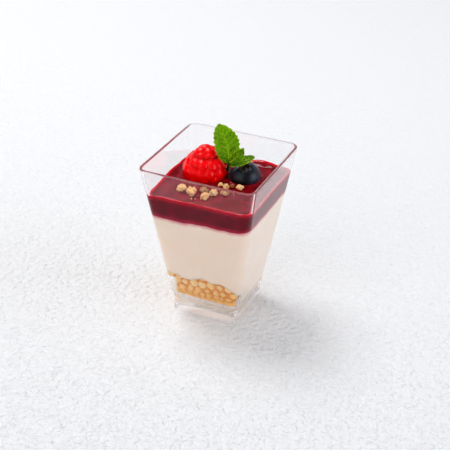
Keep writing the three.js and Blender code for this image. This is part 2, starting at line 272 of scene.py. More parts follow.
# %% Rounded squares and the cup's shell
CORNER_STEPS = 10
ROUND_STEPS = 5
LIP_ROUND = 0.5


def move_outline(verts, old, new):
    """Moves a rounded square's points to another one. Each is half width, radius and height."""
    for vert in verts:
        signs = Vector((math.copysign(1, vert.co.x), math.copysign(1, vert.co.y)))
        bend = (vert.co.xy - signs * (old[0] - old[1])) / old[1]
        flat = signs * (new[0] - new[1]) + bend * new[1]
        vert.co = (flat.x, flat.y, new[2])


def cup_squares():
    """Half width, corner radius and height of each square, from the foot's hollow to the floor."""
    hollow = FOOT_HALF - WALL
    squares = [
        (hollow, FOOT_CORNER - 1, FOOT_HEIGHT),
        (hollow, FOOT_CORNER - 1, 0),
        (FOOT_HALF - 0.25, FOOT_CORNER - 0.25, 0),
        (FOOT_HALF, FOOT_CORNER, 0.25),
        (FOOT_HALF, FOOT_CORNER + 0.4, FOOT_HEIGHT - 0.5),
        (FOOT_HALF + 0.15, WALL_CORNER - 0.6, FOOT_HEIGHT - 0.1),
        (FOOT_HALF + 0.5, WALL_CORNER - 0.2, FOOT_HEIGHT + 0.35),
        (outer_half(FOOT_HEIGHT + 1), WALL_CORNER, FOOT_HEIGHT + 1),
    ]
    arc = [math.pi / 2 * i / ROUND_STEPS for i in range(ROUND_STEPS + 1)]
    lip = [(LIP_ROUND * (1 - math.cos(a)), LIP_ROUND * (1 - math.sin(a))) for a in arc]
    for inset, drop in lip + [(WALL - inset, drop) for inset, drop in reversed(lip)]:
        up = CUP_HEIGHT - drop
        squares.append((outer_half(up) - inset, WALL_CORNER - inset, up))
    for angle in arc:
        inset = FLOOR_ROUND * (1 - math.cos(angle))
        z = FLOOR_TOP + FLOOR_ROUND * (1 - math.sin(angle))
        squares.append((inner_half(z) - inset, INNER_CORNER, z))
    return squares


def cup_shell():
    """The cup as one closed shell."""
    bm = bmesh.new()
    squares = cup_squares()
    half, radius, z = squares[0]
    first = bmesh.ops.create_grid(
        bm, x_segments=1, y_segments=1, size=half, matrix=Matrix.Translation((0, 0, z))
    )
    bmesh.ops.bevel(
        bm, geom=first["verts"], offset=radius, affect="VERTICES",
        segments=CORNER_STEPS, profile=0.5, material=-1,
    )
    outline = list(bm.edges)
    for old, new in zip(squares, squares[1:]):
        grown = bmesh.ops.extrude_edge_only(bm, edges=outline)["geom"]
        points = [item for item in grown if isinstance(item, bmesh.types.BMVert)]
        outline = [item for item in grown if isinstance(item, bmesh.types.BMEdge)]
        move_outline(points, old, new)
    bmesh.ops.contextual_create(bm, geom=outline)
    return bm


# %% [markdown]
# Clear plastic bends light, mirrors a little of the room, most at a glancing angle, and shows
# faint waves from the mould. Light that it focuses is slow to render, so lamps' rays go straight
# through it by a Transparent shader, and only sight is bent.
# The moulded lip isn't polished. Its frost softens the dark red that the rim would otherwise
# carry up from the sauce.

# %% The clear plastic
LIP_FROST = 0.5
LIP_HEIGHTS = ((CUP_HEIGHT - 0.6) * MM, (CUP_HEIGHT - 0.3) * MM)


def clear_plastic():
    """Clear moulded plastic with faint mould waves and a light haze of fine scratches."""
    material, tree, shader = new_finish(
        "clear_plastic", Base_Color=tint("fdfcfd"), IOR=1.5, Transmission_Weight=1.0,
        Specular_Tint=(0.62, 0.55, 0.6, 1),
    )
    waves = bump(tree, sized_noise(tree, 55, 1.0), 0.00012, 0.6)
    scratches = ramp(tree, sized_noise(tree, 900, 4.0), 0.35, 0.8)
    haze = add(tree, "MapRange", {"Value": scratches, "To Min": 0.015, "To Max": 0.05})
    lip = ramp(tree, add(tree, "SeparateXYZ", {0: own_place(tree)}).outputs["Z"], *LIP_HEIGHTS)
    rough = calculate(tree, "MULTIPLY_ADD", lip, LIP_FROST, haze.outputs[0])
    wire(tree, shader, Roughness=rough, Normal=waves)
    through = add(tree, "BsdfTransparent", {"Color": (0.97, 0.965, 0.965, 1)})
    path = add(tree, "LightPath")
    shadow, diffuse = (path.outputs[name] for name in ("Is Shadow Ray", "Is Diffuse Ray"))
    lamps = calculate(tree, "MAXIMUM", shadow, diffuse)
    mixed = add(tree, "MixShader", {0: lamps, 1: shader.outputs[0]})
    tree.links.new(through.outputs[0], mixed.inputs[2])
    tree.links.new(mixed.outputs[0], tree.nodes["Material Output"].inputs["Surface"])
    return material


cup = finish_piece(cup_shell(), "clear_cup", "cup", "clear_plastic", clear_plastic())
weighted = cup.modifiers.new("flat_walls", "WEIGHTED_NORMAL")
weighted.weight = 100

# %% [markdown]
# The fillings are blocks with flat sides against the plastic and an uneven top and bottom. Both
# surfaces start as square grids. Each point is moved so that the grid's outline becomes the inner
# wall's rounded square, at whatever height the surface has there, and the two outlines are
# bridged. The bridge is cut into rows, so that values kept on its points can shade it.


# %% Helpers for the fillings
def on_square(u, v, half, radius):
    """Where a point of the unit square lies inside a rounded square."""
    out = max(abs(u), abs(v), 1e-9)
    core = half - radius
    edge = Vector((u / out * half, v / out * half))
    corner = Vector((min(max(edge.x, -core), core), min(max(edge.y, -core), core)))
    bend = (edge - corner).normalized() * radius
    return (corner + bend) * out


def shape_surface(verts, surface, inset):
    """Moves a unit grid's points onto a surface inside the cup. Surface takes x, y, u and v."""
    radius = max(INNER_CORNER - inset, 0.6)
    for vert in verts:
        u, v = vert.co.x, vert.co.y
        z = surface(u * BODY_BASE_HALF, v * BODY_BASE_HALF, u, v)
        for _ in range(3):
            x, y = on_square(u, v, inner_half(z) - inset, radius)
            z = surface(x, y, u, v)
        vert.co = (x, y, z)


def filling(top, bottom, cells, rows, inset=-REACH):
    """A block between two surfaces, out to the inner walls."""
    bm = bmesh.new()
    outlines = []
    for surface in (bottom, top):
        grid = bmesh.ops.create_grid(bm, x_segments=cells, y_segments=cells, size=1)
        faces = {face for vert in grid["verts"] for face in vert.link_faces}
        edges = {edge for face in faces for edge in face.edges}
        outlines.append([edge for edge in edges if len(edge.link_faces) == 1])
        shape_surface(grid["verts"], surface, inset)
    walls = bmesh.ops.bridge_loops(bm, edges=outlines[0] + outlines[1])
    ends = set(outlines[0] + outlines[1])
    uprights = {edge for face in walls["faces"] for edge in face.edges} - ends
    bmesh.ops.subdivide_edges(bm, edges=list(uprights), cuts=rows, use_grid_fill=True)
    return bm


def floor_top(x, y):
    """The inner floor, rounded up into the walls."""
    beyond = beyond_core(x, y, inner_half(FLOOR_TOP) - INNER_CORNER).length
    near = min(max(FLOOR_ROUND - (INNER_CORNER - beyond), 0), FLOOR_ROUND)
    return FLOOR_TOP - REACH + FLOOR_ROUND - math.sqrt(FLOOR_ROUND**2 - near**2)


# %% [markdown]
# The base is a heap of puffed grains about 3.5 mm across, stuck together by caramel. They could be
# dropped by a simulation, but only those against the walls and the floor are ever seen, so a
# caramel core fills the middle, and grains are set in rows where it meets the plastic. Each is a
# small ball, squashed and dented at random. The lower rows lie closer and run together.

# %% Where the grains lie
HEAP_TOP = 19.7
# Mounds of the heap: x, y, rise above its level, reach
HEAP_MOUNDS = [
    (-13, -14, 2.4, 2.8), (0.8, -16, 2.1, 4), (8.5, -16, 1.6, 3), (-16, -2, 2.2, 4.5),
    (-15, 11, 1.4, 3.5), (-3, 16, 2.6, 4.2), (9, 15, 1.2, 3.6), (16.8, -15, -3.2, 3),
]
# Rows of grains against the walls: height, pitch, radius, paleness
GRAIN_ROWS = [
    (10, 2.7, 1.7, 0.45), (12.1, 3.1, 1.5, 0.4), (14.3, 4.1, 1.6, 0.7), (17.6, 3.8, 2, 1),
    (20.6, 3.7, 1.6, 0.8),
]
# How much higher the rows stand towards +X, and how much of a grain's radius is clear of the wall
ROW_RISE = 0.08
GRAIN_CLEAR = 0.92
FLOOR_GRAIN = 1.75
FLOOR_PITCH = 3.6
FLOOR_STEPS = range(-3, 4)
# How far the core's top and the cream's lower edge lie below the tops of the grains
CORE_BELOW = 1.3
CREAM_BELOW = 1.1
# How far the core stays inside the walls, and inside the one on +X, where there are no grains
CORE_INSET = 0.5
CORE_SETBACK = 1.6
# How far a grain may stray from its even place, along the wall and in height
STRAY = (0.9, 0.8)


def heap_top(x, y):
    """The heap's uneven top."""
    return HEAP_TOP + sum(
        rise * bell(math.hypot(x - at_x, y - at_y), reach)
        for at_x, at_y, rise, reach in HEAP_MOUNDS
    )


def grain_places(draw):
    """Middle, radius and paleness of the grains at three walls and on the floor."""
    places = []
    for side in (1, 2, 3):
        turn = Matrix.Rotation(side * math.pi / 2, 3, "Z")
        for row, (height, pitch, size, pale) in enumerate(GRAIN_ROWS):
            out = inner_half(height) - size * GRAIN_CLEAR
            fitting = round(2 * out / pitch)
            for i in range(fitting + 1):
                along = ((i + 0.5 * (row % 2)) / fitting - 0.5) * 2 * (out - 0.5)
                along += (draw.random() - 0.5) * STRAY[0]
                place = turn @ Vector((out, along, height + (draw.random() - 0.5) * STRAY[1]))
                place.z += ROW_RISE * place.x * row / 3
                # Along the wall on +X there are grains only near its front end
                open_side = place.x > out - 1.2 and place.y > -0.7 * out
                if abs(along) > out or open_side or place.z + 0.3 > heap_top(place.x, place.y):
                    continue
                radius = size * (0.88 + 0.24 * draw.random())
                places.append((place, radius, pale * (0.75 + 0.25 * draw.random())))
    for i in FLOOR_STEPS:
        for j in FLOOR_STEPS:
            middle = Vector((FLOOR_PITCH * i, FLOOR_PITCH * j, FLOOR_TOP + FLOOR_GRAIN - 0.1))
            places.append((middle, FLOOR_GRAIN, 0.45))
    return places


GRAINS = grain_places(random.Random(7))
grain_tree = search_tree([place for place, _, _ in GRAINS])
print(f"{len(GRAINS)} grains")


# %% The heap: a caramel core with grains set into it
def heap_line(x, y):
    """The lower edge of the cream: over the core, and over each grain that stands out of it."""
    z = heap_top(x, y) - CREAM_BELOW
    for _, number, _ in grain_tree.find_range((x, y, z), 3.2):
        place, radius, _ = GRAINS[number]
        away = math.hypot(x - place.x, y - place.y)
        if away < radius:
            z = max(z, place.z + math.sqrt(radius**2 - away**2) - 0.15)
    return z


def add_grain(bm, draw, place, radius, detail, craggy=0.0):
    """One puffed grain: a ball, squashed, turned and dented, and craggy where it is a crumb."""
    ball = bmesh.ops.create_icosphere(bm, subdivisions=detail, radius=radius)["verts"]
    squash = [0.9 + 0.22 * draw.random() for _ in range(3)]
    bmesh.ops.scale(bm, vec=squash, verts=ball)
    lump = Vector([10 * draw.random() for _ in range(3)])
    for vert in ball:
        dent = noise.noise(vert.co * 0.9 + lump) * 0.22 + noise.noise(vert.co * 2.2 + lump) * 0.08
        crag = craggy * noise.noise(vert.co * 1.4 - lump)
        vert.co *= 1 + dent + crag
    turn = Matrix.Rotation(draw.random() * math.pi, 4, "X")
    bmesh.ops.transform(bm, matrix=Matrix.Translation(place) @ turn, verts=ball)
    return ball


def keep_inside(verts):
    """Draws points that stand out through the cup's inner walls or floor back onto them."""
    for vert in verts:
        z = max(vert.co.z, FLOOR_TOP - REACH)
        core = inner_half(z) + REACH - INNER_CORNER
        beyond = beyond_core(vert.co.x, vert.co.y, core)
        over = max(beyond.length / INNER_CORNER, 1)
        x = math.copysign(core + beyond.x / over, vert.co.x) if beyond.x else vert.co.x
        y = math.copysign(core + beyond.y / over, vert.co.y) if beyond.y else vert.co.y
        vert.co = (x, y, max(z, floor_top(x, y)))


def heap_mesh():
    """The core and its grains, with their paleness, cream and painted glare on their points."""
    draw = random.Random(7)
    bm = filling(
        lambda x, y, u, v: heap_top(x, y) - CORE_BELOW,
        lambda x, y, u, v: floor_top(x, y),
        cells=24, rows=6, inset=CORE_INSET,
    )
    for vert in bm.verts:
        vert.co.x = min(vert.co.x, inner_half(vert.co.z) - CORE_SETBACK)
    grain_layer = bm.verts.layers.float.new("grain")
    cream_and_glare_layer = bm.verts.layers.float.new("cream_and_glare")
    for place, radius, pale in GRAINS:
        ball = add_grain(bm, draw, place, radius, 3)
        keep_inside(ball)
        for vert in ball:
            vert[grain_layer] = pale
    # Cream under the heap, and in one corner also a painted highlight for the plastic's glare
    for vert in bm.verts:
        in_corner = smooth_step(-11.2, -13, vert.co.x) * smooth_step(-9, -11, vert.co.y)
        vert[cream_and_glare_layer] = max(
            in_corner * smooth_step(18.2, 16.8, vert.co.z),
            smooth_step(FLOOR_TOP + 1.1, FLOOR_TOP + 0.3, vert.co.z),
        )
    return bm


# %% [markdown]
# Toasted puffed grain is pale where it is thin and browner in its dents, and the caramel between
# grains is a clear orange brown. The amount of toasting is kept on each grain's points, and the
# core's points hold nothing, so one material can tell them apart. Cream has run under the heap
# and into one corner, where the surface is white. In that corner the white is also a painted
# highlight: the glare of the rounded plastic.


# %% The toasted grain's finish
def toasted_grain():
    """Pale toasted grain, with orange caramel where there is no grain."""
    material, tree, shader = new_finish(
        "toasted_grain", Roughness=0.55, Subsurface_Weight=0.25, Subsurface_Scale=0.0012,
        Subsurface_Radius=(1.0, 0.55, 0.25), Specular_IOR_Level=0.25,
    )
    grain = attribute(tree, "grain")
    mottle = sized_noise(tree, 900, 4.0, 0.65)
    toast = blend(tree, ramp(tree, mottle, 0.35, 0.7), "fa9c34", "ffc068")
    paler = blend(tree, grain, toast, "ffd294")
    caramel = blend(tree, ramp(tree, mottle, 0.3, 0.75), "da7a26", "fca648")
    colour = blend(tree, ramp(tree, grain, 0.02, 0.2), caramel, paler)
    cream_and_glare = ramp(tree, attribute(tree, "cream_and_glare"), 0.1, 0.9)
    # White where there is cream, which in one corner is also a painted highlight
    wire(tree, shader, Base_Color=blend(tree, cream_and_glare, colour, "fff4e6"))
    wire(tree, shader, Normal=bump(tree, sized_noise(tree, 2500, 5.0), 0.0001, 0.5))
    return material


heap = finish_piece(heap_mesh(), "puffed_base", "crunch_base", "toasted_grain", toasted_grain())

# %% [markdown]
# The cream was poured over the grains and set. Its sides lie flat against the plastic, its lower
# edge follows every grain, and on the side away from the heap it runs right down to the floor.
# A line of berry juice has crept into its uppermost millimetres.

# %% The cream's shape
CELLS = 96
HEAP_SETBACK = (0.9, 2.1)


def cream_top(x, y):
    """The cream's top, which set in slow waves."""
    waves = 0.25 * math.sin(x * 0.31 + 0.8) + 0.12 * math.sin(x * 0.83 - y * 0.2)
    ripple = 0.14 * noise.noise(Vector((x * 0.55, y * 0.55, 3)))
    return CREAM_TOP + waves + 0.045 * (x - 2) + 0.12 * math.sin(y * 0.6) + ripple


def cream_bottom(x, y, u, v):
    """Down on the heap, and down to the floor beside it along the wall on +X."""
    from_wall = (1 - u) * BODY_BASE_HALF
    in_front = smooth_step(-0.5, -0.9, v)
    on_heap = smooth_step(*HEAP_SETBACK, from_wall + 1.7 * in_front)
    low = floor_top(x, y)
    return low + (heap_line(x, y) - low) * on_heap


def cream_mesh():
    """The cream, with the distance below its top kept on its points."""
    bm = filling(lambda x, y, u, v: cream_top(x, y), cream_bottom, CELLS, rows=24)
    below = bm.verts.layers.float.new("below")
    for vert in bm.verts:
        vert[below] = cream_top(vert.co.x, vert.co.y) - vert.co.z
    return bm


# %% [markdown]
# Set cream scatters light inside, so it never gets quite dark. It is a warm ivory, with tiny
# vanilla specks and a pink blush under the sauce. Against the plastic it has no shine of its own.


# %% The cream's finish
def set_cream():
    """Warm ivory cream with vanilla specks and a blush of berry juice at its top."""
    material, tree, shader = new_finish(
        "set_cream", Roughness=0.5, Specular_IOR_Level=0.0, Subsurface_Weight=0.6,
        Subsurface_Scale=0.002, Subsurface_Radius=(1.0, 0.8, 0.6),
    )
    ivory = blend(tree, ramp(tree, sized_noise(tree, 90), 0.3, 0.7), "f3dcc8", "f5e1cf")
    wander = calculate(tree, "MULTIPLY", sized_noise(tree, 260, 2.0), 1.6)
    depth = calculate(tree, "SUBTRACT", attribute(tree, "below"), wander)
    pink = blend(tree, ramp(tree, depth, 1.2, -0.9), ivory, "e08a90")
    cells = add(tree, "TexVoronoi", {"Vector": own_place(tree), "Scale": 420.0})
    speck = ramp(tree, cells.outputs["Distance"], 0.08, 0.04)
    chance = add(tree, "SeparateColor", {0: cells.outputs["Color"]})
    few = ramp(tree, chance.outputs[0], 0.9, 0.92)
    specks = calculate(tree, "MULTIPLY", speck, few)
    wire(tree, shader, Base_Color=blend(tree, specks, pink, "7a5a48"))
    return material


cream = finish_piece(cream_mesh(), "set_cream_layer", "cream", "set_cream", set_cream())

# %% [markdown]
# The sauce is a thick glossy layer. It creeps up the walls and up the berries in a thin curved
# edge, a meniscus, which lets light through and so looks bright red, while the deep middle looks
# nearly black. How near a point is to such an edge is worked out while the surface is shaped and
# kept on the points.

# %% Sizes of the toppings
RASPBERRY = {"x": -8.2, "y": 3.6, "base": 54.4, "top": 71.2, "half": 9.8, "lean": 5}
BLUEBERRY = {"x": 7.9, "y": 7.4, "z": 59.1, "half": 6.6, "tall": 5.4, "calyx": 2.25}
BLUEBERRY_TILT = (19, 8)
MENISCUS = 0.9
MENISCUS_REACH = 1.6

# %% The sauce's shape


def wall_distance(x, y, z):
    """How far a point is inside the inner walls, measured level, round the corners too."""
    core = inner_half(z) - INNER_CORNER
    beyond = beyond_core(x, y, core).length
    return INNER_CORNER - beyond - min(max(abs(x) - core, abs(y) - core), 0)


def berry_distance(x, y):
    """How far a point on the sauce is from the nearer berry's side."""
    raspberry = math.hypot(x - RASPBERRY["x"], y - RASPBERRY["y"] - 0.3) - RASPBERRY["half"]
    blueberry = math.hypot(x - BLUEBERRY["x"], y - BLUEBERRY["y"]) - BLUEBERRY["half"]
    return min(raspberry, blueberry)


def sauce_top(x, y, u=0, v=0):
    """Slow waves, drawn up where the sauce wets the walls and the berries."""
    near = max(wall_distance(x, y, SAUCE_TOP), 0)
    waves = 0.22 * math.sin(x * 0.27 + 1.2) * math.cos(y * 0.23 - 0.4)
    waves += 0.14 * noise.noise(Vector((x * 0.3, y * 0.3, 9))) + 0.012 * x
    dip = 0.9 * math.exp(-(((x + 22) / 4) ** 2) - ((y + 22) / 9) ** 2)
    smear = 1.3 * bell(x - 11, 6) * bell(y - 23, 2.2)
    creep = 0.5 * bell(max(berry_distance(x, y), 0), 0.9)
    uneven = 1 + 0.35 * noise.noise(Vector((x * 0.35, y * 0.35, 5)))
    return SAUCE_TOP + waves + smear - dip + creep + MENISCUS * uneven * bell(near, MENISCUS_REACH)


def sauce_mesh():
    """The sauce, with its thin edges and the depth down its sides kept on its points."""
    bm = filling(sauce_top, lambda x, y, u, v: cream_top(x, y) - REACH, CELLS, rows=10)
    edge, side, depth = (bm.verts.layers.float.new(name) for name in ("edge", "side", "depth"))
    for vert in bm.verts:
        x, y, z = vert.co
        near = max(wall_distance(x, y, z), 0)
        vert[edge] = bell(near, 1.1) + 0.35 * bell(max(berry_distance(x, y), 0), 0.5)
        vert[side] = 1.0 if near < 0.02 else 0.0
        low, high = cream_top(x, y), sauce_top(x, y)
        vert[depth] = (high - z) / (high - low)
    return bm


# %% [markdown]
# Sauce is shaded by how deep it is: bright red in the thin edges, crimson down the sides and
# nearly black in the middle. Only its open top is glossy. The sides touch the plastic, which
# leaves no surface there to shine, so they get a second material without any shine.


# %% The sauce's finishes
def red_sauce():
    """The glossy top: deep red, brighter in its thin edges."""
    material, tree, shader = new_finish(
        "red_sauce", Roughness=0.12, Specular_IOR_Level=0.4, IOR=1.4,
    )
    thin = ramp(tree, attribute(tree, "edge"), 0.15, 0.95)
    pulp = sized_noise(tree, 330, 4.0, 0.6)
    deep = blend(tree, ramp(tree, pulp, 0.3, 0.75), "620614", "941026")
    wire(tree, shader, Base_Color=blend(tree, thin, deep, "dc0824"))
    wire(tree, shader, Normal=bump(tree, sized_noise(tree, 420), 0.0002, 0.35))
    return material


def sauce_side():
    """The sides against the plastic: crimson, brighter at the upper edge, without shine."""
    material, tree, shader = new_finish("sauce_side", Roughness=1.0, Specular_IOR_Level=0.0)
    pulp = sized_noise(tree, 240, 5.0, 0.65)
    patches = sized_noise(tree, 90, 2.0)
    wander = calculate(tree, "MULTIPLY_ADD", patches, 0.12, attribute(tree, "depth"))
    deep = blend(tree, ramp(tree, pulp, 0.3, 0.7), "500814", "760f24")
    top = blend(tree, ramp(tree, wander, 0.32, 0.05), deep, "b8102c")
    low = ramp(tree, wander, 0.8, 1.08)
    wire(tree, shader, Base_Color=blend(tree, low, top, "a02038"))
    return material


def assign_sides(piece):
    """Gives the faces whose points all lie at the wall the second material."""
    side = piece.data.attributes["side"].data
    for polygon in piece.data.polygons:
        if all(side[i].value > 0.5 for i in polygon.vertices):
            polygon.material_index = 1


sauce = finish_piece(
    sauce_mesh(), "berry_sauce_layer", "berry_sauce", "red_sauce", red_sauce(), sauce_side()
)
assign_sides(sauce)

# %% [markdown]
# Crumbs of toasted biscuit lie on the sauce in front of the berries. Each is a cluster of small
# nubs round a larger one, all dented balls, so that its outline is as broken as a real crumb's.
# They are a piece of their own, for their colour, and stand for the bumps on the sauce's solid.
# Some are coated in sauce, and each keeps its shade and its coat on its points.

# %% The crumbs
# Middle, size across and how much sauce coats it, roughly from left to right
CRUMBS = [
    (-10.8, -12.4, 4.7, 0), (-5.9, -13.4, 4.9, 0), (0.3, -14, 4.2, 0), (-2.4, -9.3, 3.6, 0.6),
    (2.3, -10, 4.2, 0.15), (6.3, -8, 4, 0.45), (1.8, -2.7, 2.6, 0.1), (4.3, -3.3, 2.9, 0.15),
    (9.6, -1.7, 3.3, 0), (6.4, -1.6, 2.3, 0.8),
]
# Scraps that have come off them
SCRAPS = [
    (-4.2, -17.2, 0.9, 0), (-2.9, -16.4, 0.7, 0), (9, -5.6, 0.8, 0), (9.9, -7.2, 0.7, 0.4),
    (-12.2, -8.6, 1.6, 0.5),
]


def crumb_mesh():
    """All the crumbs and scraps."""
    draw = random.Random(19)
    bm = bmesh.new()
    shade = bm.verts.layers.float.new("shade")
    coat = bm.verts.layers.float.new("coat")
    for x, y, size, coated in CRUMBS + SCRAPS:
        nubs = 11 if size > 2 else 2
        tone = draw.random()
        for i in range(nubs):
            angle = i / nubs * 2 * math.pi + draw.random()
            away = 0 if i == 0 else size * (0.24 + 0.12 * draw.random())
            radius = size * (0.31 if i == 0 else 0.12 + 0.08 * draw.random())
            lift = radius * 0.8 if i == 0 else size * (0.1 + 0.25 * draw.random())
            at = Vector((x + away * math.cos(angle), y + away * math.sin(angle), 0))
            at.z = sauce_top(at.x, at.y) + lift
            for vert in add_grain(bm, draw, at, radius, 4 if i == 0 else 2, craggy=0.6):
                vert[shade] = tone
                vert[coat] = coated
    return bm


def biscuit_crumb():
    """Baked crumb, grainy and dry: a painted highlight on its bumps and painted shade in its
    dents.
    """
    material, tree, shader = new_finish(
        "biscuit_crumb", Roughness=0.8, Specular_IOR_Level=0.2, Subsurface_Weight=0.2,
        Subsurface_Scale=0.001, Subsurface_Radius=(1.0, 0.6, 0.3),
    )
    grain = sized_noise(tree, 1400, 5.0, 0.7)
    # Painted highlight and shade: the noise that raises the bumps also lightens them and browns
    # dents
    mottle_highlight_and_shade = blend(tree, ramp(tree, grain, 0.3, 0.68), "ffae5e", "ffe2b2")
    colour = blend(tree, attribute(tree, "shade"), mottle_highlight_and_shade, "ffc486")
    wire(tree, shader, Base_Color=blend(tree, attribute(tree, "coat"), colour, "7a3020"))
    wire(tree, shader, Normal=bump(tree, grain, 0.0004, 0.7))
    return material


crumbs = finish_piece(
    crumb_mesh(), "biscuit_crumbs", "berry_sauce", "toasted_grain", biscuit_crumb()
)

# %% [markdown]
# A raspberry is a cap of dozens of drupelets, small juicy balls that have grown into each other.
# It could be made of separate balls, but then the grooves between them are deep and dark, and the
# ripe berry's are shallow. So one fine ball is wrapped onto the berry's outline, and its skin
# swells round the middle of each drupelet. The middles stand in staggered rings.

# %% The raspberry's shape
RING_PITCH = 3.2
DRUPELET_PITCH = 4
DRUPELET_REACH = 2.45
DRUPELET_RISE = 1.5


def raspberry_half(share):
    """The berry's half width at a share of its height, with a crease under its crown."""
    foot = math.sqrt(max(0, 1 - ((0.3 - share) / 0.38) ** 2))
    cone = math.sqrt(max(0, 1 - ((share - 0.3) / 0.7) ** 1.5)) if share > 0.3 else 1
    crease = 1 - 0.19 * bell(share - 0.74, 0.05)
    return RASPBERRY["half"] * (foot if share < 0.3 else cone) * crease


def raspberry_line(inset, steps=200):
    """Points along the outline, moved in, as distance from the axis and height."""
    tall = RASPBERRY["top"] - RASPBERRY["base"]
    line = []
    for i in range(steps + 1):
        share = i / steps
        out = max(raspberry_half(share) - inset, 0)
        line.append(Vector((out, inset + share * (tall - 2 * inset))))
    return line


def lengths_along(line):
    """How far each point of a line of points is from its start."""
    lengths = [0]
    for first, second in zip(line, line[1:]):
        lengths.append(lengths[-1] + (second - first).length)
    return lengths


def drupelet_places(draw, line, lengths):
    """The drupelets' middles, in staggered rings, and a shade for each."""
    places = []
    rings = round(lengths[-1] / RING_PITCH)
    for ring in range(rings + 1):
        at = line[min(bisect.bisect_left(lengths, lengths[-1] * ring / rings), len(line) - 1)]
        count = max(1, round(2 * math.pi * at.x / DRUPELET_PITCH))
        for i in range(count):
            angle = (i + 0.5 * (ring % 2) + 0.25 * draw.random()) / count * 2 * math.pi
            up = at.y + 0.4 * (draw.random() - 0.5)
            middle = Vector((at.x * math.cos(angle), at.x * math.sin(angle), up))
            places.append((middle, draw.random()))
    return places


def raspberry_mesh():
    """One skin swollen round every drupelet."""
    draw = random.Random(31)
    line = raspberry_line(DRUPELET_RISE)
    lengths = lengths_along(line)
    places = drupelet_places(draw, line, lengths)
    near = search_tree([middle for middle, _ in places])
    bm = bmesh.new()
    shade = bm.verts.layers.float.new("shade")
    ball = bmesh.ops.create_icosphere(bm, subdivisions=6, radius=1)["verts"]
    for vert in ball:
        share = math.acos(min(max(-vert.co.z, -1), 1)) / math.pi
        number = min(max(bisect.bisect_left(lengths, lengths[-1] * share), 1), len(line) - 1)
        span = max(lengths[number] - lengths[number - 1], 1e-9)
        between = (lengths[-1] * share - lengths[number - 1]) / span
        at = line[number - 1].lerp(line[number], between)
        way = (line[min(number + 3, len(line) - 1)] - line[max(number - 4, 0)]).normalized()
        flat = Vector((vert.co.x, vert.co.y)).normalized() if share < 1 else Vector((0, 0))
        base = Vector((flat.x * at.x, flat.y * at.x, at.y))
        out = Vector((flat.x * way.y, flat.y * way.y, -way.x))
        swell = 0
        for _, number, away in near.find_n(base, 2):
            swell = max(swell, math.sqrt(max(0, 1 - (away / DRUPELET_REACH) ** 2)))
            vert[shade] = max(vert[shade], places[number][1] * (away < DRUPELET_PITCH / 2))
        vert.co = base + out * DRUPELET_RISE * swell
    bmesh.ops.smooth_vert(
        bm, verts=ball, factor=0.3, use_axis_x=True, use_axis_y=True, use_axis_z=True
    )
    place = Matrix.Translation((RASPBERRY["x"], RASPBERRY["y"], RASPBERRY["base"]))
    place @= Matrix.Rotation(math.radians(-RASPBERRY["lean"]), 4, "X")
    bmesh.ops.transform(bm, matrix=place, verts=bm.verts)
    return bm


# %% [markdown]
# Drupelets are full of juice: light goes in, turns red and comes out close by. Subsurface
# scattering does that, with red travelling furthest. The skin over it is smooth and wet.


# %% The raspberry's finish
def raspberry_red():
    """Juicy red drupelets with a wet skin."""
    material, tree, shader = new_finish(
        "raspberry_red", Roughness=0.14, Subsurface_Weight=0.6, Subsurface_Scale=0.0018,
        Subsurface_Radius=(1.0, 0.05, 0.05), Specular_IOR_Level=0.3,
    )
    ripe = blend(tree, attribute(tree, "shade"), "f00006", "ff000c")
    fleck = ramp(tree, sized_noise(tree, 500, 4.0), 0.55, 0.8)
    colour = blend(tree, fleck, ripe, "d80006")
    wire(tree, shader, Base_Color=colour)
    wire(tree, shader, Normal=bump(tree, sized_noise(tree, 1500), 0.00008, 0.4))
    return material


raspberry = finish_piece(
    raspberry_mesh(), "raspberry_fruit", "raspberry", "raspberry_red", raspberry_red()
)

# %% [markdown]
# A blueberry is a slightly flattened ball with a crater at the top, where the flower was, ringed
# by five low lobes. Its outline is drawn once, from the bottom pole over the rim into the crater,
# and spun round its axis. The rim's points are then lifted in five waves.

# %% The blueberry's shape
# The crater's outline: share of the calyx's half width, height above the skin's edge
CRATER = [
    (0.95, 0.28), (0.86, 0.35), (0.78, 0.2), (0.7, -0.15), (0.6, -0.6), (0.4, -0.9),
    (0.2, -0.95), (0, -0.9),
]


def blueberry_outline():
    """Distance from the axis and height, from the bottom pole to the crater's middle."""
    half, tall, calyx = (BLUEBERRY[name] for name in ("half", "tall", "calyx"))
    last = math.pi - math.asin(calyx / half)
    steps = 30
    points = [
        (half * math.sin(last * i / steps), -tall * math.cos(last * i / steps))
        for i in range(steps + 1)
    ]
    rim = -tall * math.cos(last)
    points += [(calyx * share, rim + above) for share, above in CRATER]
    return points, rim


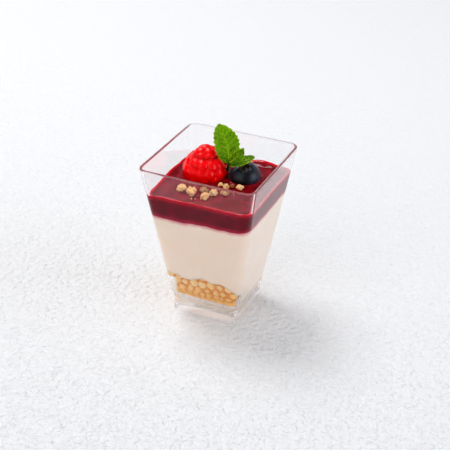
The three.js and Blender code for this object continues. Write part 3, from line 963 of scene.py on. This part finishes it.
def blueberry_mesh():
    """The spun berry with its lobed rim, with the crater kept on its points."""
    points, rim = blueberry_outline()
    bm = bmesh.new()
    verts = [bm.verts.new((out, 0, z)) for out, z in points]
    edges = [bm.edges.new(pair) for pair in zip(verts, verts[1:])]
    bmesh.ops.spin(
        bm, geom=verts + edges, cent=(0, 0, 0), axis=(0, 0, 1), dvec=(0, 0, 0),
        angle=2 * math.pi, steps=60, use_merge=True,
    )
    bmesh.ops.remove_doubles(bm, verts=bm.verts, dist=0.001)
    crater = bm.verts.layers.float.new("crater")
    for vert in bm.verts:
        out = math.hypot(vert.co.x, vert.co.y)
        angle = math.atan2(vert.co.y, vert.co.x)
        on_rim = bell(out - BLUEBERRY["calyx"] * 0.88, 0.45) * (vert.co.z > rim - 0.7)
        inside = vert.co.z > 0 and out < BLUEBERRY["calyx"] * 0.84
        vert[crater] = 1.0 if inside else 0.6 * on_rim
        lobes = 0.3 * math.cos(5 * angle) + 0.18 * noise.noise(vert.co * 0.8)
        vert.co.z += on_rim * lobes
        vert.co *= 1 + 0.012 * noise.noise(vert.co * 0.25)
    turn = Matrix.Rotation(math.radians(BLUEBERRY_TILT[1]), 4, "Y")
    turn @= Matrix.Rotation(math.radians(BLUEBERRY_TILT[0]), 4, "X")
    place = Matrix.Translation((BLUEBERRY["x"], BLUEBERRY["y"], BLUEBERRY["z"]))
    bmesh.ops.transform(bm, matrix=place @ turn, verts=bm.verts)
    return bm


# %% [markdown]
# Blueberry skin is nearly black, under a waxy bloom that scatters light and looks dusty blue.
# The bloom is thin where the berry was rubbed. The crater is dry and brown.


# %% The blueberry's finish
def blueberry_skin():
    """Dark skin with a patchy waxy bloom and a brown crater."""
    material, tree, shader = new_finish(
        "blueberry_skin", Specular_IOR_Level=0.45, Sheen_Weight=0.12, Sheen_Roughness=0.5,
    )
    patches = ramp(tree, sized_noise(tree, 230, 4.0, 0.6), 0.38, 0.68)
    dust = ramp(tree, sized_noise(tree, 1800, 4.0, 0.7), 0.3, 0.75)
    bloom = calculate(tree, "MULTIPLY", patches, dust)
    skin = blend(tree, bloom, "04070e", "344660")
    colour = blend(tree, attribute(tree, "crater"), skin, "3a2414")
    rough = add(tree, "MapRange", {"Value": bloom, "To Min": 0.3, "To Max": 0.6})
    wire(tree, shader, Base_Color=colour, Roughness=rough.outputs[0])
    wire(tree, shader, Normal=bump(tree, dust, 0.00006, 0.5))
    return material


blueberry = finish_piece(
    blueberry_mesh(), "blueberry_fruit", "blueberry", "blueberry_skin", blueberry_skin()
)

# %% [markdown]
# A mint leaf is thin, folded along its midrib, toothed at its edge and quilted between its side
# veins. It starts as a flat grid. Along the leaf, u goes from 0 at its foot to 1 at its tip, and
# across it v goes from -1 to 1. Its width, teeth, fold and quilting are all worked out from these
# two numbers, and the sheet is then given its thickness.

# %% The mint leaf's shape
LEAF_THICKNESS = 0.36
PETIOLE_HALF = 0.38
STEM_FOOT = Vector((2.1, 2.7, 62.3))
STEM_TOP = Vector((3, 2.6, 66.4))
STEM_RADIUS = 0.65
FRONT = Vector((0.35, -0.79, 0.5))
SIDE_VEINS = 8
TEETH = 9.5
# Share of the stem's length, distance forward, tip, the way it faces, half width, bow, curl, cells
# along and across, and tone of each leaf, which is painted shade: lower is darker
LEAVES = [
    (0.88, -0.3, (-3.3, 6, 80.4), FRONT, 5.1, -0.04, 0.14, (150, 56), 1),
    (0.92, 0.3, (8, 5.1, 72.3), (0.5, -0.8, 0.2), 2.3, -0.05, 0.22, (100, 28), 0.5),
    (0.62, 0.4, (10.9, 9.9, 67.3), (0.1, -0.35, 0.9), 2.4, 0.07, 0.2, (100, 28), 0.3),
]


def leaf_half(u, half):
    """Half the leaf's width, with teeth that point to the tip."""
    oval = math.sqrt(max(math.sin(math.pi * min(u, 0.999) ** 0.92), 0))
    tooth = 0.91 + 0.15 * (u * TEETH % 1) ** 0.8
    return max(half * oval * tooth, PETIOLE_HALF)


def side_vein(u, v):
    """1 on a side vein, 0 between them. The veins run out and on towards the tip."""
    along = (u - 0.2 * abs(v) ** 1.2) * SIDE_VEINS + 0.5 * (v > 0)
    return bell((along + 0.5) % 1 - 0.5, 0.11) * (1 - 0.5 * abs(v))


def add_leaf(bm, layers, base, tip, face, half, bow, curl, cells, tone):
    """One leaf from base to tip, facing a direction."""
    along = tip - base
    length = along.length
    along = along.normalized()
    across = -face.cross(along).normalized()
    normal = -along.cross(across).normalized()
    grid = bmesh.ops.create_grid(bm, x_segments=cells[0], y_segments=cells[1], size=1)["verts"]
    for vert in grid:
        u, v = (vert.co.x + 1) / 2, vert.co.y
        wide = leaf_half(u, half) * v
        lift = wide * v * (curl + 0.08 * math.sin(u * 9 + v * 2))
        arch = bow * math.sin(math.pi * u) * length
        midrib = bell(wide, 0.28) * (1 - 0.7 * u)
        veins = max(side_vein(u, v), 0)
        gaps = noise.voronoi(Vector((wide, u * length, half)) * 0.85)[0]
        cell = smooth_step(0, 0.45, gaps[1] - gaps[0])
        quilt = (0.05 * half * (1 - veins) + 0.22 * cell) * (1 - v**6)
        sway = 0.07 * length * math.sin(math.pi * u)
        rise = lift + arch + quilt - 0.2 * bell(wide, 0.5)
        vert.co = base + along * u * length + across * (wide + sway) + normal * rise
        vert[layers[0]] = max(midrib, 0.8 * veins, 0.42 * (1 - cell), 0.7 * v**12)
        # Painted shade: a low tone darkens leaves in shadow, and each leaf towards its foot
        vert[layers[1]] = tone * (1 - 0.45 * bell(u, 0.22))
    faces = list({face for vert in grid for face in vert.link_faces})
    for sheet_face in faces:
        sheet_face.normal_update()
    if faces[0].normal.dot(normal) < 0:
        bmesh.ops.reverse_faces(bm, faces=faces)
    bmesh.ops.solidify(bm, geom=faces, thickness=LEAF_THICKNESS)


def on_stem(share, forward):
    """A point at a share of the stem's length, moved towards the front."""
    return STEM_FOOT.lerp(STEM_TOP, share) + FRONT * forward


def mint_mesh():
    """Three leaves rooted in a short stem."""
    bm = bmesh.new()
    layers = [bm.verts.layers.float.new(name) for name in ("vein", "tone")]
    for share, forward, tip, face, *form in LEAVES:
        add_leaf(bm, layers, on_stem(share, forward), Vector(tip), Vector(face), *form)
    way = STEM_TOP - STEM_FOOT
    turn = way.to_track_quat("Z", "Y").to_matrix().to_4x4()
    bmesh.ops.create_cone(
        bm, cap_ends=True, segments=16, radius1=STEM_RADIUS, radius2=STEM_RADIUS * 0.8,
        depth=way.length, matrix=Matrix.Translation((STEM_FOOT + STEM_TOP) / 2) @ turn,
    )
    return bm


# %% [markdown]
# The leaf is a fresh yellow green with pale veins and a fine net between them. Painted shade
# darkens the leaves that lie in shadow, and each leaf towards its foot. It is thin enough for
# light to pass, so some of it scatters through.


# %% The mint's finish
def mint_green():
    """Fresh green leaf with pale veins, and painted shade from the tone on its points."""
    material, tree, shader = new_finish(
        "mint_green", Roughness=0.5, Specular_IOR_Level=0.25, Subsurface_Weight=0.7,
        Subsurface_Scale=0.0015, Subsurface_Radius=(0.7, 1.0, 0.05),
    )
    inputs = {"Vector": own_place(tree), "Scale": 1300.0}
    net = add(tree, "TexVoronoi", inputs, feature="DISTANCE_TO_EDGE")
    mesh_of_veins = ramp(tree, net.outputs["Distance"], 0.12, 0.0)
    patch = ramp(tree, sized_noise(tree, 260), 0.3, 0.7)
    blade = blend(tree, patch, "447000", "6c9a00")
    netted = blend(tree, mesh_of_veins, blade, "7ea000")
    # Painted shade: a low tone blends the leaf towards dark green
    shaded = blend(tree, attribute(tree, "tone"), "1c4400", netted)
    vein = ramp(tree, attribute(tree, "vein"), 0.15, 0.9)
    wire(tree, shader, Base_Color=blend(tree, vein, shaded, "a6c822"))
    wire(tree, shader, Normal=bump(tree, net.outputs["Distance"], 0.0002, 0.4))
    return material


mint = finish_piece(mint_mesh(), "mint_leaves", "mint_sprig", "mint_green", mint_green())

# %% [markdown]
# The object stands on near-white textured paper. A plain sheet would look lifeless next to
# it, so the paper has the soft pebbled relief of watercolour paper, made only by bump. The relief
# and the brightness fall off towards the back.

# %% The floor
FLOOR_HALF = 3.0
# The foot stands a hair above the paper, or their shared plane would flicker
FLOOR_DROP = 0.00005
# Where along Y the paper starts to fade, and where it has faded
FLOOR_FADE = (-0.1, 0.25)


def pale_paper():
    """Near-white paper with a soft pebbled relief."""
    material, tree, shader = new_finish("pale_paper", Roughness=0.9, Specular_IOR_Level=0.1)
    pebbles = sized_noise(tree, 420, 3.0, 0.5)
    away = add(tree, "SeparateXYZ", {0: own_place(tree)}).outputs["Y"]
    span = {"From Min": FLOOR_FADE[1], "From Max": FLOOR_FADE[0], "To Min": 0.15}
    near = add(tree, "MapRange", {"Value": away, **span}).outputs[0]
    relief = calculate(tree, "MULTIPLY", pebbles, near)
    wire(tree, shader, Normal=bump(tree, relief, 0.003))
    wire(tree, shader, Base_Color=blend(tree, near, "ebebec", "f4f4f5"))
    return material


floor_bm = bmesh.new()
bmesh.ops.create_grid(
    floor_bm, x_segments=1, y_segments=1, size=FLOOR_HALF,
    matrix=Matrix.Translation((0, 0, -FLOOR_DROP)),
)
floor_mesh = bpy.data.meshes.new("paper_floor")
floor_bm.to_mesh(floor_mesh)
floor_bm.free()
floor_mesh.materials.append(pale_paper())
floor = add_object("paper_floor", floor_mesh)
floor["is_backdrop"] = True

# %% [markdown]
# The light is a bright, even studio. The key lamp, high on the left and a little behind, casts the
# soft shadow to the right, and wide lamps overhead, in front and on the right fill it. Clear
# plastic shows its edges only against something darker, so the surround is white just above the
# horizon and grey higher up. A small warm lamp in the hollow foot stands in for the light that
# the plastic would focus there, and only the floor and the grains catch it.


# %% The light
def soft_lamp(name, direction, distance, size, power, warmth=(1, 1, 1)):
    """A square lamp that shines at the dessert from a direction."""
    data = bpy.data.lights.new(name, "AREA")
    data.shape = "SQUARE"
    data.size = size
    data.energy = power
    data.color = warmth
    lamp = add_object(name, data)
    way = Vector(direction).normalized()
    lamp.location = way * distance + Vector((0, 0, CUP_HEIGHT / 2 * MM))
    lamp.rotation_euler = way.to_track_quat("Z", "Y").to_euler()
    return lamp


soft_lamp("key_lamp", (-0.62, 0.26, 1.08), distance=1.3, size=0.62, power=9.8)
soft_lamp("overhead_lamp", (0, -0.1, 1), distance=1.5, size=1.2, power=1.9)
soft_lamp("front_lamp", (-0.35, -1, 0.7), distance=1.4, size=1.1, power=4.5)
soft_lamp(
    "right_lamp", (1, 0.1, 0.4), distance=1.6, size=1.2, power=9.2, warmth=(0.89, 1, 1.13)
)

hollow_lamp = soft_lamp(
    "hollow_lamp", (0, 0, -1), distance=0.029, size=0.02, power=0.0005, warmth=(1, 0.62, 0.4)
)
hollow_lamp.location = (0, 0, (FOOT_HEIGHT - 0.4) * MM)
hollow_lamp.rotation_euler = (0, 0, 0)
for seen_by in ("camera", "glossy", "transmission"):
    setattr(hollow_lamp, "visible_" + seen_by, False)

world = bpy.data.worlds.new("studio")
world.use_nodes = True
sky = world.node_tree
height = add(sky, "SeparateXYZ", {0: add(sky, "TexCoord").outputs["Generated"]}).outputs["Z"]
low = ramp(sky, height, 0.3, 0.05)
surround = blend(sky, low, (0.36, 0.36, 0.37, 1), (0.9, 0.9, 0.92, 1))
sky.links.new(surround, sky.nodes["Background"].inputs["Color"])
bpy.context.scene.world = world

# %% [markdown]
# The camera looks down at about 30 degrees from the front and a little to the right, from half a
# metre away with a long lens, which keeps the leaning walls from spreading too much. A gentle
# tone curve deepens the darkest tones, as a camera does. Light bounces many times along inside
# clear walls, so the limits on bounces are raised, or the rim would turn black.

# %% The camera
CAMERA_PLACE = Vector((0.15589, -0.34994, 0.25987))
AZIMUTH, ELEVATION, ROLL = (math.radians(angle) for angle in (23.626, 30.1135, 1.1774))
back = Vector((
    math.sin(AZIMUTH) * math.cos(ELEVATION),
    -math.cos(AZIMUTH) * math.cos(ELEVATION),
    math.sin(ELEVATION),
))
right = Vector((math.cos(AZIMUTH), math.sin(AZIMUTH), 0))
up = back.cross(right)
turned = Matrix((right, up, back)).transposed().to_4x4() @ Matrix.Rotation(ROLL, 4, "Z")
camera_data = bpy.data.cameras.new("camera")
camera_data.sensor_width = 36
camera_data.lens = 84.98
camera_data.clip_start = 0.01
camera = add_object("camera", camera_data)
camera.matrix_world = Matrix.Translation(CAMERA_PLACE) @ turned

scene = bpy.context.scene
scene.camera = camera
scene.view_settings.view_transform = "Standard"
scene.view_settings.use_curve_mapping = True
tone = scene.view_settings.curve_mapping.curves[3]
for dark, darker in ((0.02, 0.008), (0.07, 0.052), (0.25, 0.25)):
    tone.points.new(dark, darker)
scene.view_settings.curve_mapping.update()
scene.cycles.max_bounces = 32
for kind in ("transmission_bounces", "glossy_bounces", "transparent_max_bounces"):
    setattr(scene.cycles, kind, 24)
scene.cycles.sample_clamp_indirect = 4

# %% [markdown]
# Last, the finished pieces' box is printed beside the imported model's.

# %% Print both boxes
visual_box = [list(corner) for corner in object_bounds()]
for label, box in (("packed", cad_box), ("visual", visual_box)):
    print(label, [[round(value / MM, 2) for value in corner] for corner in box])
